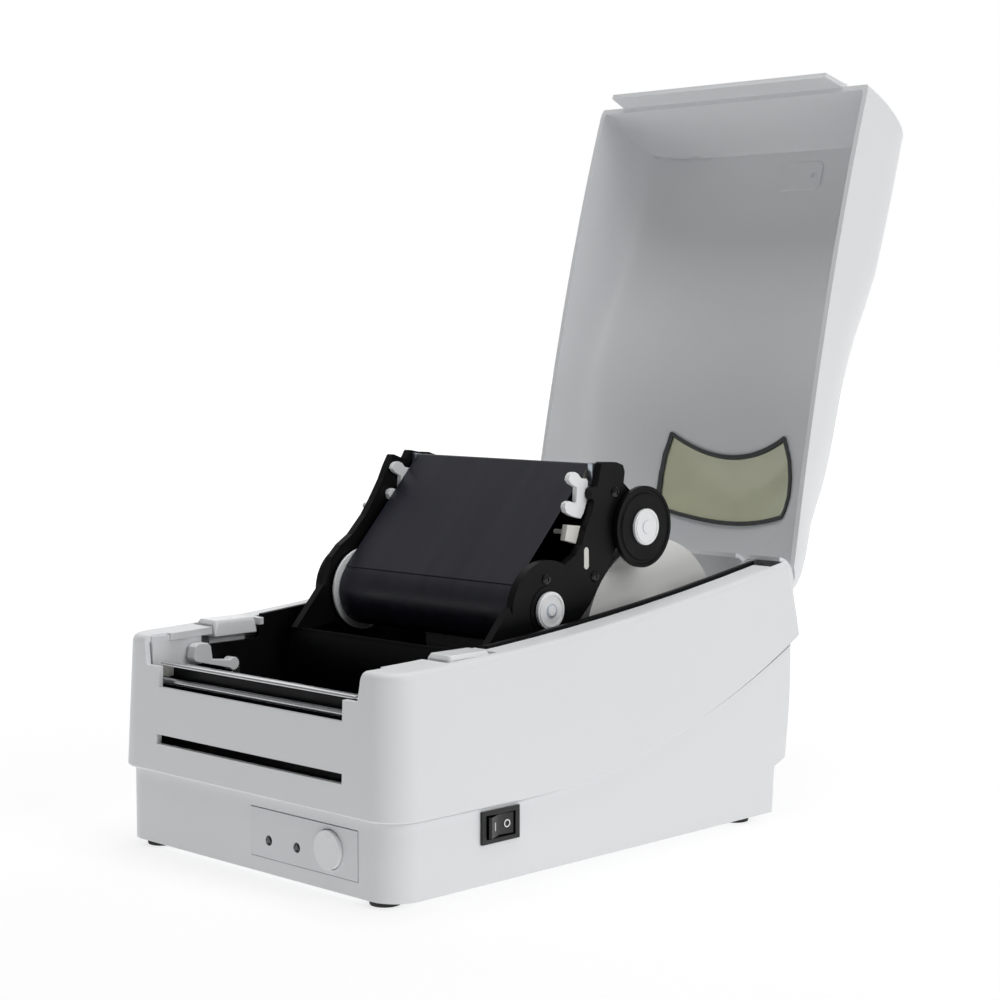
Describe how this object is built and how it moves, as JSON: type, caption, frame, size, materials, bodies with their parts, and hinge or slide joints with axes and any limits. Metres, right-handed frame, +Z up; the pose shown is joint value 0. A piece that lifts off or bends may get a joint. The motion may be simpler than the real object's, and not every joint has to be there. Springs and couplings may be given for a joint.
{
  "type": "label printer",
  "caption": "Desktop thermal-transfer label printer with an open lift-up lid, a tipped-up ribbon carriage and a label roll in its bay.",
  "frame": {"origin": "on the table, under the middle of the case's width and 130 mm behind its front edge", "axes": "+X to the right seen from the front, +Y to the back, +Z up; the label leaves towards -Y"},
  "size_m": [0.1898, 0.3739, 0.3632],
  "materials": {
    "case_white": "fine satin moulded ABS, cool light grey",
    "panel_white": "satin moulded plastic",
    "button_white": "satin moulded plastic",
    "black_plastic": "satin black moulded plastic",
    "switch_black": "polished black plastic",
    "lens_dark": "smoked indicator lens",
    "rubber_black": "matt black rubber",
    "bright_steel": "bright steel",
    "natural_nylon": "natural nylon",
    "motor_dark": "dark motor body",
    "board_green": "solder-mask green",
    "component_dark": "moulded component cases",
    "label_paper": "matt label stock",
    "card": "wound card core",
    "window_olive": "translucent olive window",
    "seal_grey": "dark grey seal",
    "ribbon_black": "satin blue-black wax-resin film",
    "head_ceramic": "glazed heater strip",
    "head_alloy": "anodised aluminium"
  },
  "bodies": {
    "case": {"lower_case": "case_white", "upper_shell": "case_white", "inner_chassis": "black_plastic", "control_panel": "panel_white", "led_lenses": "lens_dark", "switch_bezel": "switch_black", "rubber_feet": "rubber_black", "tear_bar": "bright_steel", "lower_guide_bar": "bright_steel", "platen_bushings": "natural_nylon", "stepper_motor": "motor_dark", "motor_plate": "bright_steel", "main_board": "board_green", "board_components": "component_dark", "usb_socket": "bright_steel", "serial_socket": "bright_steel", "power_inlet": "switch_black", "case_screws": "bright_steel", "label_sensor": "component_dark", "lid_hinge_pins": "bright_steel", "carriage_pivot_pins": "bright_steel", "latch_catches": "bright_steel"},
    "lid": {"lid_shell": "case_white", "lid_window": "window_olive", "window_seal": "seal_grey", "lid_hinge_arms": "case_white", "lid_inner_plate": "case_white"},
    "carriage": {"carriage_plate_left": "black_plastic", "carriage_plate_right": "black_plastic", "carriage_bridge": "black_plastic", "web_guard": "black_plastic", "print_head": "head_ceramic", "heat_sink": "head_alloy", "ribbon_film": "ribbon_black", "guide_rods": "bright_steel", "sensor_plug": "natural_nylon"},
    "hook_left": {"hook_left": "button_white"},
    "hook_right": {"hook_right": "button_white"},
    "ribbon_supply": {"supply_roll": "ribbon_black", "supply_hubs": "button_white", "supply_disc": "black_plastic"},
    "ribbon_takeup": {"takeup_core": "ribbon_black", "takeup_discs": "black_plastic", "takeup_hubs": "button_white"},
    "platen": {"platen_rubber": "rubber_black", "platen_shaft": "bright_steel", "platen_gear": "natural_nylon"},
    "idler_gear": {"idler_gear": "natural_nylon"},
    "motor_pinion": {"motor_pinion": "bright_steel"},
    "label_roll": {"label_paper": "label_paper", "label_core": "card", "label_spindle": "black_plastic", "label_flanges": "natural_nylon"},
    "latch_left": {"latch_button_left": "button_white"},
    "latch_right": {"latch_button_right": "button_white"},
    "feed_button": {"feed_button": "button_white"},
    "power_rocker": {"power_rocker": "switch_black"},
    "release_knob": {"release_knob": "button_white"},
    "label_guide_left": {"label_guide_left": "black_plastic"},
    "label_guide_right": {"label_guide_right": "black_plastic"}
  },
  "joints": [
    {"name": "lid_hinge", "type": "hinge", "parent": "case", "child": "lid", "pos_m": [0, 0.125, 0.1127], "axis": [1, 0, 0], "range_deg": [0, 109.3]},
    {"name": "carriage_hinge", "type": "hinge", "parent": "case", "child": "carriage", "pos_m": [0, -0.011, 0.082], "axis": [1, 0, 0], "range_deg": [0, 110.1]},
    {"name": "supply_spin", "type": "hinge", "parent": "carriage", "child": "ribbon_supply", "pos_m": [0, -0.01173, 0.11027], "axis": [1, 0, 0], "continuous": true},
    {"name": "takeup_spin", "type": "hinge", "parent": "carriage", "child": "ribbon_takeup", "pos_m": [0, 0.04993, 0.14404], "axis": [1, 0, 0], "continuous": true},
    {"name": "hook_right_pivot", "type": "hinge", "parent": "carriage", "child": "hook_right", "pos_m": [0.06, 0.02029, 0.16073], "axis": [1, 0, 0], "range_deg": [0, 14], "stiffness_Nm_per_rad": 0.03, "springref_deg": -17.19},
    {"name": "hook_left_pivot", "type": "hinge", "parent": "carriage", "child": "hook_left", "pos_m": [-0.06, 0.02029, 0.16073], "axis": [1, 0, 0], "range_deg": [0, 14], "stiffness_Nm_per_rad": 0.03, "springref_deg": -17.19},
    {"name": "platen_spin", "type": "hinge", "parent": "case", "child": "platen", "pos_m": [0, -0.11, 0.0744], "axis": [1, 0, 0], "continuous": true},
    {"name": "idler_spin", "type": "hinge", "parent": "case", "child": "idler_gear", "pos_m": [-0.081, -0.093, 0.062], "axis": [1, 0, 0], "continuous": true},
    {"name": "pinion_spin", "type": "hinge", "parent": "case", "child": "motor_pinion", "pos_m": [-0.081, -0.0785, 0.054], "axis": [1, 0, 0], "continuous": true},
    {"name": "label_roll_spin", "type": "hinge", "parent": "case", "child": "label_roll", "pos_m": [0, 0.073, 0.088], "axis": [1, 0, 0], "continuous": true},
    {"name": "latch_left_press", "type": "slide", "parent": "case", "child": "latch_left", "axis": [0, 0, -1], "range_m": [0, 0.003], "stiffness_N_per_m": 600, "springref_m": -0.001},
    {"name": "latch_right_press", "type": "slide", "parent": "case", "child": "latch_right", "axis": [0, 0, -1], "range_m": [0, 0.003], "stiffness_N_per_m": 600, "springref_m": -0.001},
    {"name": "feed_press", "type": "slide", "parent": "case", "child": "feed_button", "axis": [0, 1, 0], "range_m": [0, 0.0015], "stiffness_N_per_m": 600, "springref_m": -0.001},
    {"name": "rocker_tilt", "type": "hinge", "parent": "case", "child": "power_rocker", "pos_m": [0.089, -0.07025, 0.0274], "axis": [0, 0, 1], "range_deg": [0, 14]},
    {"name": "release_knob_tilt", "type": "hinge", "parent": "case", "child": "release_knob", "pos_m": [-0.0674, -0.086, 0.0805], "axis": [1, 0, 0], "range_deg": [0, 12]},
    {"name": "label_guide_right_slide", "type": "slide", "parent": "case", "child": "label_guide_right", "axis": [-1, 0, 0], "range_m": [0, 0.03]},
    {"name": "label_guide_left_slide", "type": "slide", "parent": "case", "child": "label_guide_left", "axis": [1, 0, 0], "range_m": [0, 0.03]}
  ],
  "couplings": [
    {"joint": "carriage_hinge", "follows": "lid_hinge", "ratio": 1.0072},
    {"joint": "idler_spin", "follows": "platen_spin", "ratio": -1.3333},
    {"joint": "pinion_spin", "follows": "platen_spin", "ratio": 1.7143},
    {"joint": "label_guide_left_slide", "follows": "label_guide_right_slide", "ratio": 1},
    {"joint": "hook_left_pivot", "follows": "hook_right_pivot", "ratio": 1}
  ]
}
